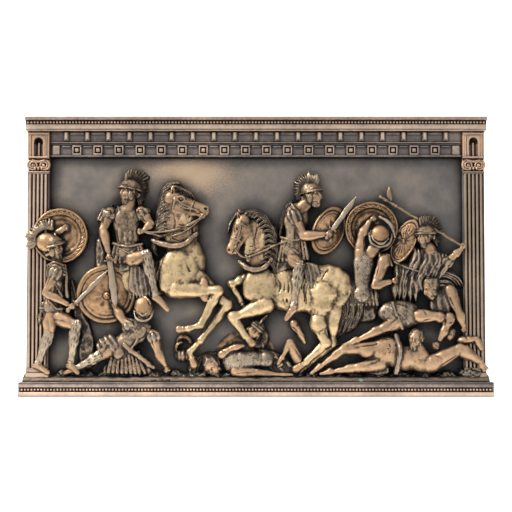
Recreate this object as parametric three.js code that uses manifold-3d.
// A cast wall plaque: a battle relief of horsemen and foot soldiers in a classical frame.
// The frame is an entablature with dentils and square bosses, two fluted Ionic pilasters and a
// moulded base. It is one casting, so everything here is joined into one solid.
// Millimetres, +Z up, the front faces -Y. The origin is the middle of the flat back, which lies on y = 0.

import * as THREE from "three";
import { mergeVertices } from "three/addons/utils/BufferGeometryUtils.js";
import Module from "manifold-3d";

const wasm = await Module();
wasm.setup();

// ---- Driving dimensions ----

const HEIGHT = 356;
const HALF_HEIGHT = HEIGHT / 2;
const BASE_WIDTH = 600; // the base moulding, the widest part
const CORNICE_WIDTH = 590;
const SLAB_WIDTH = 586; // over the outer edges of the pilasters

// How far each surface stands in front of the flat back.
const FRONT = { field: 14, frieze: 19, pilaster: 26, shaft: 25, cornice: 38, ledge: 34, base: 44 };

const PILASTER_WIDTH = 28;
const ENTABLATURE_HEIGHT = 50;
const CORNICE_HEIGHT = 17;
const BASE_HEIGHT = 18;
const LEDGE_HEIGHT = 6; // the strip of ground that the figures stand on
const BAY = 27.1; // spacing of the dentils, and of the square bosses between them
const DENTILS = 19;
const FLUTES = 5;

const TOP = HALF_HEIGHT;
const FRIEZE_TOP = TOP - CORNICE_HEIGHT;
const FIELD_TOP = TOP - ENTABLATURE_HEIGHT;
const BASE_TOP = -HALF_HEIGHT + BASE_HEIGHT;
const GROUND = BASE_TOP + LEDGE_HEIGHT;
const FIELD_HALF_WIDTH = SLAB_WIDTH / 2 - PILASTER_WIDTH;

const SIMPLIFY = 0.9; // facets smaller than this are merged away
const ROOT = 2; // how deep a relief element is rooted in the field

// Radii of a man's body about 200 mm tall, at the joints named. A figure scales them by its build.
const BODY = {
  head: 8.5,
  neck: 5,
  shoulder: 6.4,
  elbow: 4.8,
  wrist: 3.4,
  hand: 4.3,
  hip: 9,
  knee: 6.2,
  ankle: 3.7,
  toe: 2.8,
};

// ---- Solids from three.js geometry ----

// The closed solid of a geometry, with its doubled corners merged and its collapsed triangles dropped.
function solid(geometry) {
  const bare = new THREE.BufferGeometry();
  const source = geometry.index ? geometry.toNonIndexed() : geometry;
  bare.setAttribute("position", source.getAttribute("position"));
  const merged = mergeVertices(bare, 1e-4);
  const index = merged.index.array;
  const kept = [];
  for (let i = 0; i < index.length; i += 3) {
    const [a, b, c] = [index[i], index[i + 1], index[i + 2]];
    if (a !== b && b !== c && c !== a) kept.push(a, b, c);
  }
  const vertProperties = new Float32Array(merged.getAttribute("position").array);
  const made = manifold(vertProperties, kept);
  if (made.volume() >= 0) return made;
  for (let i = 0; i < kept.length; i += 3) [kept[i], kept[i + 1]] = [kept[i + 1], kept[i]];
  return manifold(vertProperties, kept);
}

function manifold(vertProperties, triangles) {
  const triVerts = new Uint32Array(triangles);
  return new wasm.Manifold(new wasm.Mesh({ numProp: 3, vertProperties, triVerts }));
}

function unionOf(solids) {
  return solids.reduce((sum, next) => sum.add(next));
}

// Gives a rounded shape a straight root, as a casting without undercuts has: whatever faces
// backwards is carried back to just behind the field.
function rooted(geometry) {
  const position = geometry.getAttribute("position");
  const bare = new THREE.BufferGeometry();
  bare.setAttribute("position", position);
  bare.setIndex(geometry.index);
  const merged = mergeVertices(bare, 1e-3);
  merged.computeVertexNormals();
  const places = merged.getAttribute("position");
  const normals = merged.getAttribute("normal");
  for (let i = 0; i < places.count; i += 1) {
    if (normals.getY(i) > 0.05) places.setY(i, ROOT - FRONT.field);
  }
  return merged;
}

// A point of the relief: x across, z up, and lift in front of the field.
function at([x, z, lift]) {
  return new THREE.Vector3(x, -(FRONT.field + lift), z);
}

function block(x0, x1, z0, z1, front, back = 0) {
  const box = new THREE.BoxGeometry(x1 - x0, front - back, z1 - z0);
  return solid(box.translate((x0 + x1) / 2, -(front + back) / 2, (z0 + z1) / 2));
}

// An outline in x and z, standing from `back` to `front`.
function plate(outline, back, front) {
  const shape = new THREE.Shape(outline.map(([x, z]) => new THREE.Vector2(x, z)));
  const made = new THREE.ExtrudeGeometry(shape, { depth: front - back, bevelEnabled: false });
  const across = new THREE.Vector3(1, 0, 0);
  const up = new THREE.Vector3(0, 0, 1);
  const forward = new THREE.Vector3(0, -1, 0);
  made.applyMatrix4(new THREE.Matrix4().makeBasis(across, up, forward));
  return solid(made.translate(0, -back, 0));
}

// A moulding: a profile of [front, z] points run from -halfWidth to halfWidth.
function moulding(profile, halfWidth) {
  const shape = new THREE.Shape(profile.map(([front, z]) => new THREE.Vector2(front, z)));
  const made = new THREE.ExtrudeGeometry(shape, { depth: 2 * halfWidth, bevelEnabled: false });
  const forward = new THREE.Vector3(0, -1, 0);
  const up = new THREE.Vector3(0, 0, 1);
  const along = new THREE.Vector3(-1, 0, 0);
  made.applyMatrix4(new THREE.Matrix4().makeBasis(forward, up, along));
  return solid(made.translate(halfWidth, 0, 0));
}

function turned(profile, sides, centre, direction, flat = 1) {
  const points = profile.map(([radius, along]) => new THREE.Vector2(radius, along));
  const made = new THREE.LatheGeometry(points, sides);
  made.scale(1, 1, flat);
  const turn = new THREE.Quaternion().setFromUnitVectors(new THREE.Vector3(0, 1, 0), direction);
  made.applyQuaternion(turn);
  return solid(rooted(made.translate(centre.x, centre.y, centre.z)));
}

// A tapered limb with rounded ends between two points of the relief.
function limb(from, to, startRadius, endRadius, sides = 5) {
  const a = at(from);
  const direction = at(to).sub(a);
  const length = direction.length();
  const profile = [
    [0, -startRadius * 0.7],
    [startRadius, 0],
    [endRadius, length],
    [0, length + endRadius * 0.7],
  ];
  return turned(profile, sides, a, direction.normalize());
}

// A limb through several joints, each given as a point and a radius.
function chain(joints, sides = 5) {
  const parts = [];
  for (let i = 1; i < joints.length; i += 1) {
    parts.push(limb(joints[i - 1].at, joints[i].at, joints[i - 1].radius, joints[i].radius, sides));
  }
  return parts;
}

// An egg shape: radii across, up and out of the field, leaning clockwise by `lean` degrees.
function egg(centre, [across, up, out], lean = 0, sides = 7) {
  const made = new THREE.SphereGeometry(1, sides, 4).rotateX(Math.PI / 2);
  made.scale(across, out, up).rotateY(THREE.MathUtils.degToRad(lean));
  const place = at(centre);
  return solid(rooted(made.translate(place.x, place.y, place.z)));
}

// ---- The frame ----

function slab() {
  return block(-SLAB_WIDTH / 2, SLAB_WIDTH / 2, -HALF_HEIGHT, HALF_HEIGHT, FRONT.field);
}

function entablature() {
  const { cornice, frieze } = FRONT;
  const crown = moulding(
    [
      [0, FRIEZE_TOP],
      [cornice - 8, FRIEZE_TOP],
      [cornice - 6, FRIEZE_TOP + 2],
      [cornice - 4, FRIEZE_TOP + 8],
      [cornice - 7, FRIEZE_TOP + 9],
      [cornice - 4, FRIEZE_TOP + 11],
      [cornice - 1, FRIEZE_TOP + 13],
      [cornice, TOP - 3],
      [cornice, TOP],
      [0, TOP],
    ],
    CORNICE_WIDTH / 2,
  );
  const dentilBand = FRIEZE_TOP - 15.5; // the groove between the two rows
  const friezes = moulding(
    [
      [0, FIELD_TOP],
      [frieze + 3, FIELD_TOP],
      [frieze + 3, FIELD_TOP + 2],
      [frieze, FIELD_TOP + 2.5],
      [frieze, dentilBand],
      [frieze + 4, dentilBand + 1.5],
      [frieze + 2, dentilBand + 2],
      [frieze + 2, FRIEZE_TOP],
      [0, FRIEZE_TOP],
    ],
    FIELD_HALF_WIDTH,
  );
  const parts = [crown, friezes];
  const reach = ((DENTILS - 1) / 2) * BAY;
  for (let x = -reach; x <= reach + 0.1; x += BAY) {
    parts.push(block(x - 2.5, x + 2.5, FRIEZE_TOP - 12, FRIEZE_TOP + 1, frieze + 6.5));
  }
  for (let x = -reach + BAY / 2; x <= reach; x += BAY) {
    parts.push(...squareBoss(x, FIELD_TOP + 8.8));
  }
  return parts;
}

// A square frame with a smaller square standing inside it.
function squareBoss(x, z) {
  const outer = 6.2;
  const inner = 4.4;
  const centre = 2.4;
  const face = FRONT.frieze + 3;
  const rim = block(x - outer, x + outer, z - outer, z + outer, face, FRONT.frieze - 1);
  const well = block(x - inner, x + inner, z - inner, z + inner, face + 1, FRONT.frieze);
  const stud = block(x - centre, x + centre, z - centre, z + centre, face, FRONT.frieze - 1);
  return [rim.subtract(well), stud];
}

// The fluted shaft, block with its arched niche, volutes and foot of one pilaster.
function pilaster(side) {
  const middle = side * (SLAB_WIDTH / 2 - PILASTER_WIDTH / 2);
  const half = PILASTER_WIDTH / 2;
  const blockFoot = FIELD_TOP - 2;
  const neck = blockFoot - 16;
  const footTop = GROUND + 12;
  const footLeft = middle - half - (side > 0 ? 1.5 : 0);
  const footRight = middle + half + (side < 0 ? 1.5 : 0);
  const section = [
    [middle - half, 0],
    [middle - half, FRONT.shaft - 3],
  ];
  const pitch = (PILASTER_WIDTH - 3) / FLUTES;
  for (let i = 0; i < FLUTES; i += 1) {
    const left = middle - half + 1.5 + i * pitch;
    section.push([left + 0.6, FRONT.shaft]);
    section.push([left + pitch - 2.2, FRONT.shaft]);
    section.push([left + pitch - 0.8, FRONT.shaft - 4]);
  }
  section.push([middle + half, FRONT.shaft - 3], [middle + half, 0]);
  const shape = new THREE.Shape(section.map(([x, front]) => new THREE.Vector2(x, front)));
  const run = new THREE.ExtrudeGeometry(shape, { depth: neck - GROUND, bevelEnabled: false });
  const across = new THREE.Vector3(1, 0, 0);
  const forward = new THREE.Vector3(0, -1, 0);
  const down = new THREE.Vector3(0, 0, -1);
  run.applyMatrix4(new THREE.Matrix4().makeBasis(across, forward, down));
  const shaft = solid(run.translate(0, 0, neck));
  const head = block(middle - half, middle + half, blockFoot, FRIEZE_TOP, FRONT.pilaster);
  return [
    shaft,
    head.subtract(niche(middle, blockFoot)),
    block(middle - half, middle + half, neck, blockFoot, FRONT.shaft - 4),
    block(middle - half, middle + half, neck - 3.5, neck, FRONT.pilaster + 1),
    block(middle - half, middle + half, GROUND, footTop, FRONT.pilaster + 1),
    block(footLeft, footRight, GROUND, footTop - 6, FRONT.pilaster + 4),
    volute(middle - 7.2, neck + 8.2, -1),
    volute(middle + 7.2, neck + 8.2, 1),
  ];
}

// The round-headed recess in the block above a capital.
function niche(middle, foot) {
  const radius = 5.4;
  const springing = foot + 21;
  const outline = [
    [middle - radius, foot - 1],
    [middle + radius, foot - 1],
  ];
  const steps = 6;
  for (let i = 0; i <= steps; i += 1) {
    const angle = (Math.PI * i) / steps;
    outline.push([middle + radius * Math.cos(angle), springing + radius * Math.sin(angle)]);
  }
  return plate(outline, FRONT.pilaster - 6, FRONT.pilaster + 1);
}

// A spiral scroll of an Ionic capital, winding in from the outside.
function volute(x, z, hand) {
  const turns = 1.5;
  const steps = 10;
  const inner = [];
  const outer = [];
  for (let i = 0; i <= steps; i += 1) {
    const part = i / steps;
    const angle = Math.PI / 2 - part * turns * 2 * Math.PI;
    const radius = 7.1 * (1 - part) + 1.6 * part;
    const width = 2.4 * (1 - part) + 1.2 * part;
    const [c, s] = [hand * Math.cos(angle), Math.sin(angle)];
    outer.push([x + radius * c, z + radius * s]);
    inner.unshift([x + (radius - width) * c, z + (radius - width) * s]);
  }
  return plate([...outer, ...inner], FRONT.shaft - 5, FRONT.pilaster + 1);
}

function base() {
  const { base: front, ledge } = FRONT;
  const foot = -HALF_HEIGHT;
  const steps = moulding(
    [
      [0, foot],
      [front, foot],
      [front, foot + 5],
      [front - 5, foot + 6.5],
      [front - 3, foot + 8.7],
      [front - 5, foot + 11],
      [front - 3, foot + 12],
      [front - 4, BASE_TOP],
      [0, BASE_TOP],
    ],
    BASE_WIDTH / 2,
  );
  const ground = moulding(
    [
      [0, BASE_TOP - 1],
      [ledge, BASE_TOP - 1],
      [ledge, BASE_TOP + 3],
      [ledge - 4, GROUND],
      [FRONT.field, GROUND + 5],
      [0, GROUND + 5],
    ],
    BASE_WIDTH / 2 - 4,
  );
  return [steps, ground];
}

// ---- Men, arms and armour ----

// Joints of an arm or a leg, with radii from the table for a man of this build.
function joints(names, points, build) {
  return points.map((point, i) => ({ at: point, radius: BODY[names[i]] * build }));
}

function arm(points, build = 1) {
  return chain(joints(["shoulder", "elbow", "wrist", "hand"], points, build));
}

function leg(points, build = 1) {
  return chain(joints(["hip", "knee", "ankle", "toe"], points, build));
}

// The trunk: a ribcage, and a waist with the hips, leaning along the line from hips to chest.
function trunk({ chest, hips, width = 16, depth = 11 }) {
  const lean = THREE.MathUtils.radToDeg(Math.atan2(chest[0] - hips[0], chest[1] - hips[1]));
  const waist = chest.map((value, i) => value * 0.3 + hips[i] * 0.7);
  const height = width * 1.15;
  return [egg(chest, [width, height, depth], lean), egg(waist, [width * 0.8, height, depth], lean)];
}

function helmetedHead(centre, radius, crest) {
  const parts = [egg(centre, [radius * 0.92, radius * 1.15, radius], crest.lean ?? 0, 9)];
  if (crest.to !== undefined) parts.push(crestFin(centre, radius, crest));
  return parts;
}

// A helmet's crest: a curved comb that stands round the skull from one angle to another.
function crestFin([x, z, lift], radius, { from, to, height = 7 }) {
  const steps = 5;
  const inner = [];
  const outer = [];
  for (let i = 0; i <= steps; i += 1) {
    const angle = THREE.MathUtils.degToRad(from + ((to - from) * i) / steps);
    const [c, s] = [Math.cos(angle), Math.sin(angle)];
    outer.push([x + (radius + height) * c, z + (radius + height) * s]);
    inner.unshift([x + (radius - 1) * c, z + (radius - 1) * s]);
  }
  const outline = to > from ? [...outer, ...inner] : [...inner, ...outer];
  return plate(outline, FRONT.field - ROOT, FRONT.field + Math.max(5, lift - 3));
}

// A round shield with a rim and a shallow dome. `narrow` foreshortens it across the line that
// leans clockwise by `lean` degrees, and `facing` is the way it looks (across, up, out).
function shield({ centre, radius, narrow = 1, lean = 0, facing = [0, 0, 1], dome = 6 }) {
  const rim = 3;
  const profile = [
    [0, -3],
    [radius, -3],
    [radius, 1.5],
    [radius - rim, 1.5],
    [radius - rim - 1, 0.3],
    [radius * 0.45, dome * 0.85],
    [0, dome],
  ];
  const made = new THREE.LatheGeometry(profile.map(([r, y]) => new THREE.Vector2(r, y)), 12);
  const normal = new THREE.Vector3(facing[0], -facing[2], facing[1]).normalize();
  const turn = THREE.MathUtils.degToRad(lean);
  const side = new THREE.Vector3(Math.cos(turn), 0, -Math.sin(turn));
  const long = new THREE.Vector3().crossVectors(side, normal).normalize();
  const across = new THREE.Vector3().crossVectors(normal, long);
  made.scale(narrow, 1, 1).applyMatrix4(new THREE.Matrix4().makeBasis(across, normal, long));
  const place = at(centre);
  return solid(rooted(made.translate(place.x, place.y, place.z)));
}

// A round shield seen from inside: a hollow disc with a raised rim.
function shieldInside(centre, radius, depth) {
  const forward = new THREE.Vector3(0, -1, 0);
  const back = -(centre[2] + ROOT);
  const profile = [
    [0, back],
    [radius, back],
    [radius, 0],
    [radius - 5, 0.5],
    [radius - 7, -depth * 0.7],
    [0, -depth],
  ];
  return turned(profile, 14, at(centre), forward);
}

// A leaf-shaped blade, flat in the plane of the relief.
function blade(hilt, tip, width) {
  const a = at(hilt);
  const direction = at(tip).sub(a);
  const length = direction.length();
  const half = width / 2;
  const profile = [
    [0, -2],
    [half * 0.8, 0],
    [half, length * 0.6],
    [half * 0.8, length * 0.8],
    [0, length],
  ];
  const forward = new THREE.Vector3(0, -1, 0);
  const along = direction.clone().normalize();
  const side = new THREE.Vector3().crossVectors(along, forward).normalize();
  const out = new THREE.Vector3().crossVectors(side, along);
  const made = new THREE.LatheGeometry(profile.map(([r, y]) => new THREE.Vector2(r, y)), 4);
  made.scale(1, 1, 0.45).applyMatrix4(new THREE.Matrix4().makeBasis(side, along, out));
  return solid(rooted(made.translate(a.x, a.y, a.z)));
}

// A sword held in a fist: a blade and its cross guard.
function sword(hand, tip, width) {
  const [dx, dz] = [tip[0] - hand[0], tip[1] - hand[1]];
  const length = Math.hypot(dx, dz);
  const [ux, uz] = [dx / length, dz / length];
  const lift = hand[2];
  const guard = [hand[0] + ux * 5, hand[1] + uz * 5];
  const reach = width * 0.75;
  const left = [guard[0] - uz * reach, guard[1] + ux * reach, lift];
  const right = [guard[0] + uz * reach, guard[1] - ux * reach, lift];
  return [blade([guard[0], guard[1], lift], tip, width), limb(left, right, 1.8, 1.8, 4)];
}

// A tunic's skirt or hanging cloth: a sheet from a waist line to a hem line, thicker at the hem.
function skirt(waistLeft, waistRight, hemRight, hemLeft, lift) {
  const middle = [(waistLeft[0] + waistRight[0]) / 2, (waistLeft[1] + waistRight[1]) / 2];
  const hem = [(hemLeft[0] + hemRight[0]) / 2, (hemLeft[1] + hemRight[1]) / 2];
  const drop = [(hem[0] - middle[0]) * 0.12, (hem[1] - middle[1]) * 0.12];
  const low = [hem[0] + drop[0], hem[1] + drop[1]];
  return plate([waistLeft, waistRight, hemRight, low, hemLeft], FRONT.field - ROOT, FRONT.field + lift);
}

// ---- The figures, from left to right ----

// A foot soldier in a crested helmet, striding right with shield raised and sword held low.
function stridingSoldier() {
  return [
    shieldInside([-250, 25, 13], 34, 8),
    ...helmetedHead([-264, 18, 15], 13, { from: 75, to: 215, height: 9, lean: -50 }),
    egg([-250, 14, 14], [8, 7, 8], 0, 6),
    ...trunk({ chest: [-254, -22, 10], hips: [-261, -66, 9], width: 13.5 }),
    ...arm([[-251, -19, 15], [-266, -48, 18], [-233, -63, 20]]),
    ...sword([-232, -64, 20], [-188, -18, 18], 7),
    skirt([-273, -58], [-248, -58], [-245, -79], [-275, -79], 16),
    ...leg([[-261, -76, 12], [-262, -100, 14], [-277, -138, 13], [-265, -147, 13]]),
    ...leg([[-252, -76, 9], [-230, -89, 16], [-235, -138, 13], [-226, -148, 13]]),
    skirt([-224, -78], [-214, -78], [-205, -126], [-220, -140], 7),
  ];
}

// A soldier seen from behind, down on the ground under a big round shield.
function kneelingSoldier() {
  return [
    shield({ centre: [-191, -49, 11], radius: 38, facing: [0.16, -0.2, 1], dome: 8 }),
    ...helmetedHead([-143, -67, 16], 12, { from: 100, to: -60, height: 4 }),
    ...trunk({ chest: [-146, -100, 11], hips: [-183, -119, 10], width: 16 }),
    limb([-158, -98, 14], [-172, -76, 13], 6.5, 5),
    ...arm([[-134, -100, 12], [-127, -121, 13], [-113, -147, 8]]),
    ...leg([[-186, -122, 13], [-203, -128, 14], [-240, -149, 12]]),
    limb([-164, -115, 17], [-130, -142, 15], 4, 3),
    skirt([-178, -128], [-150, -120], [-140, -146], [-186, -148], 14),
  ];
}

// The horseman on the left, looking back over his shoulder, his sword held down.
function leftRider() {
  return [
    ...helmetedHead([-162, 88, 15], 12, { from: 110, to: -45, height: 13 }),
    limb([-162, 75, 13], [-163, 60, 12], 6, 7),
    ...trunk({ chest: [-164, 47, 11], hips: [-161, 8, 10], width: 17, depth: 12 }),
    ...arm([[-184, 58, 13], [-194, 35, 15], [-187, -4, 17]]),
    ...arm([[-149, 58, 12], [-136, 42, 13], [-143, 33, 17]], 0.95),
    ...sword([-186, -3, 17], [-178, -66, 18], 9),
    skirt([-178, 16], [-144, 16], [-129, -5], [-180, -16], 19),
    ...leg([[-158, -2, 16], [-139, 1, 20], [-126, -52, 20], [-112, -67, 20]]),
  ];
}

// One limb or neck of a horse through its joints, each [x, z, lift, radius].
function through(points) {
  return chain(points.map(([x, z, lift, radius]) => ({ at: [x, z, lift], radius })), 6);
}

function leftHorse() {
  return [
    egg([-101, -24, 13], [27, 30, 16], 8, 10),
    egg([-135, -30, 7], [34, 20, 11]),
    egg([-79, -2, 8], [15, 30, 10], -10),
    egg([-99, 38, 11], [23, 50, 16], -3, 9),
    ...through([[-93, 72, 15, 14], [-61, 59, 16, 9]]),
    ...through([[-114, 84, 9, 9], [-121, 26, 8, 12]]),
    ...through([[-133, 19, 18, 3], [-104, 12, 24, 4.5], [-73, 31, 19, 4]]),
    ...through([[-98, -42, 16, 10], [-50, -45, 19, 6], [-69, -88, 15, 4], [-97, -93, 14, 4.5]]),
    ...through([[-72, -24, 8, 9], [-37, -62, 11, 5.5], [-71, -109, 12, 4]]),
    ...through([[-71, -109, 12, 4], [-86, -123, 11, 4], [-78, -139, 12, 6]]),
  ];
}

function rightHorse() {
  return [
    egg([4, -38, 14], [25, 22, 16], 20, 10),
    egg([45, -42, 12], [44, 27, 16], 0, 10),
    egg([88, -44, 13], [31, 33, 16], 0, 10),
    egg([1, 8, 11], [17, 46, 15], -2, 9),
    ...through([[-8, 34, 17, 12], [-36, 9, 16, 7]]),
    ...through([[-10, 50, 9, 8], [20, 4, 8, 11]]),
    ...through([[-22, -8, 15, 3], [-2, -17, 25, 3.6], [18, -8, 20, 3]]),
    ...through([[13, -60, 16, 11], [-28, -77, 17, 5.4], [-12, -105, 14, 4.2]]),
    ...through([[-29, -33, 5, 4.5], [-20, -58, 5, 3.4]]),
    ...through([[80, -66, 15, 14], [89, -111, 14, 5.6], [64, -133, 12, 4], [52, -143, 12, 4.6]]),
    ...through([[96, -70, 8, 14], [97, -112, 8, 5], [62, -141, 7, 4]]),
    ...through([[118, -40, 7, 9], [121, -100, 5, 8]]),
  ];
}

// The horseman on the right, with shield and sword, looking right.
function rightRider() {
  return [
    ...helmetedHead([73, 85, 15], 12, { from: 185, to: 45, height: 11 }),
    egg([75, 69, 15], [9, 10, 9], 0, 6),
    ...trunk({ chest: [50, 47, 10], hips: [48, 8, 11], width: 17, depth: 12 }),
    limb([54, 58, 12], [70, 70, 13], 7, 6),
    shield({ centre: [93, 33, 11], radius: 33, narrow: 0.7, lean: 12, facing: [0.3, 0, 1], dome: 8 }),
    ...arm([[48, 52, 16], [61, 25, 20], [93, 27, 22]]),
    ...sword([95, 29, 21], [128, 76, 14], 7),
    skirt([33, 24], [62, 24], [66, -12], [28, -16], 17),
    ...leg([[50, 0, 17], [54, -16, 20], [47, -67, 18], [41, -80, 18]]),
  ];
}

// Soldiers on foot at the right: one under a hollow shield, one with a spear and a ribbed shield.
function footSoldiers() {
  return [
    shieldInside([148, 36, 9], 34, 7),
    ...helmetedHead([158, 26, 17], 13, { from: 75, to: -25, height: 4 }),
    ...trunk({ chest: [138, -10, 11], hips: [138, -50, 8], width: 16 }),
    ...arm([[134, 0, 13], [136, 24, 14], [145, 46, 11]]),
    limb([162, -8, 14], [151, -41, 16], 6.4, 4.8),
    shield({ centre: [190, 19, 12], radius: 31, narrow: 0.45, lean: 27, facing: [-0.3, 0.1, 1], dome: 5 }),
    ...helmetedHead([219, 29, 14], 11.5, { from: 115, to: -20, height: 10 }),
    egg([210, 22, 13], [6, 7, 7], 0, 6),
    ...trunk({ chest: [218, -4, 8], hips: [202, -36, 7], width: 16 }),
    ...arm([[238, -9, 9], [250, -2, 11], [263, 13, 11]], 0.85),
    limb([161, 76, 9], [264, 12, 11], 2, 2),
  ];
}

// The men on the ground at the right: one crouching, one thrown forward, one on his back.
function fallenAtRight() {
  return [
    egg([237, -30, 5], [24, 15, 9], 25),
    egg([222, -40, 13], [9, 12, 9], 30),
    limb([247, -44, 13], [264, -88, 11], 6.4, 4.4),
    egg([185, -72, 12], [27, 15, 13], 8, 9),
    ...leg([[172, -86, 15], [146, -101, 16], [113, -114, 12]], 0.95),
    ...arm([[208, -78, 16], [246, -78, 14], [229, -114, 14]], 1.05),
    egg([203, -104, 17], [9, 15, 10]),
    egg([172, -120, 13], [22, 20, 16], 25, 9),
    egg([198, -133, 13], [21, 15, 14], 25, 9),
    ...arm([[222, -137, 15], [263, -114, 16], [288, -140, 14]], 1.45),
    limb([265, -109, 7], [287, -112, 7], 5.5, 4.5),
    ...arm([[158, -116, 15], [137, -124, 14]], 1.2),
    ...leg([[130, -116, 9], [106, -122, 12], [75, -146, 10]], 0.8),
    ...leg([[152, -140, 12], [142, -145, 12], [86, -149, 10]], 0.85),
  ];
}

// The men and arms lying under the horses.
function fallenInMiddle() {
  return [
    egg([-55, -141, 8], [14, 14, 13]),
    egg([-12, -133, 8], [30, 13, 12], 5),
    egg([28, -140, 6], [26, 11, 10]),
    ...arm([[-22, -147, 13], [5, -149, 12], [46, -152, 9]], 1.05),
    ...arm([[50, -131, 9], [43, -110, 12], [29, -134, 11]]),
    limb([-38, -122, 9], [-15, -114, 9], 3, 3.4),
    egg([0, -94, 6], [14, 13, 9], 40),
    egg([-94, -112, 3], [9, 8, 6], 0, 6),
  ];
}

// ---- The whole plaque ----

// The outside of a solid alone. Where many forms overlap, a few pockets a fraction of a
// millimetre across are left between them: their shells are dropped, so the metal fills them.
function outside({ vertProperties, triVerts }) {
  const leader = Array.from({ length: vertProperties.length / 3 }, (_, i) => i);
  const find = (i) => {
    while (leader[i] !== i) i = leader[i] = leader[leader[i]];
    return i;
  };
  for (let i = 0; i < triVerts.length; i += 3) {
    leader[find(triVerts[i + 1])] = find(triVerts[i]);
    leader[find(triVerts[i + 2])] = find(triVerts[i]);
  }
  const sizes = new Map();
  for (const vertex of triVerts) sizes.set(find(vertex), (sizes.get(find(vertex)) ?? 0) + 1);
  const largest = [...sizes].sort((a, b) => b[1] - a[1])[0][0];
  const kept = [];
  for (let i = 0; i < triVerts.length; i += 3) {
    if (find(triVerts[i]) === largest) kept.push(triVerts[i], triVerts[i + 1], triVerts[i + 2]);
  }
  return kept;
}

function plaque() {
  const frame = [slab(), ...entablature(), ...pilaster(-1), ...pilaster(1), ...base()];
  const relief = [
    ...stridingSoldier(),
    ...kneelingSoldier(),
    ...leftHorse(),
    ...leftRider(),
    ...rightHorse(),
    ...rightRider(),
    ...footSoldiers(),
    ...fallenAtRight(),
    ...fallenInMiddle(),
  ];
  const whole = unionOf([...frame, ...relief]).simplify(SIMPLIFY).getMesh();
  const geometry = new THREE.BufferGeometry();
  geometry.setAttribute("position", new THREE.BufferAttribute(whole.vertProperties, 3));
  geometry.setIndex(outside(whole));
  return mergeVertices(geometry, 1e-4);
}

const bronze = new THREE.MeshStandardMaterial({ color: 0x8a6540, roughness: 0.45, metalness: 0.85 });

const group = new THREE.Group();
const casting = new THREE.Mesh(plaque(), bronze);
casting.name = "plaque";
group.add(casting);

export default group;
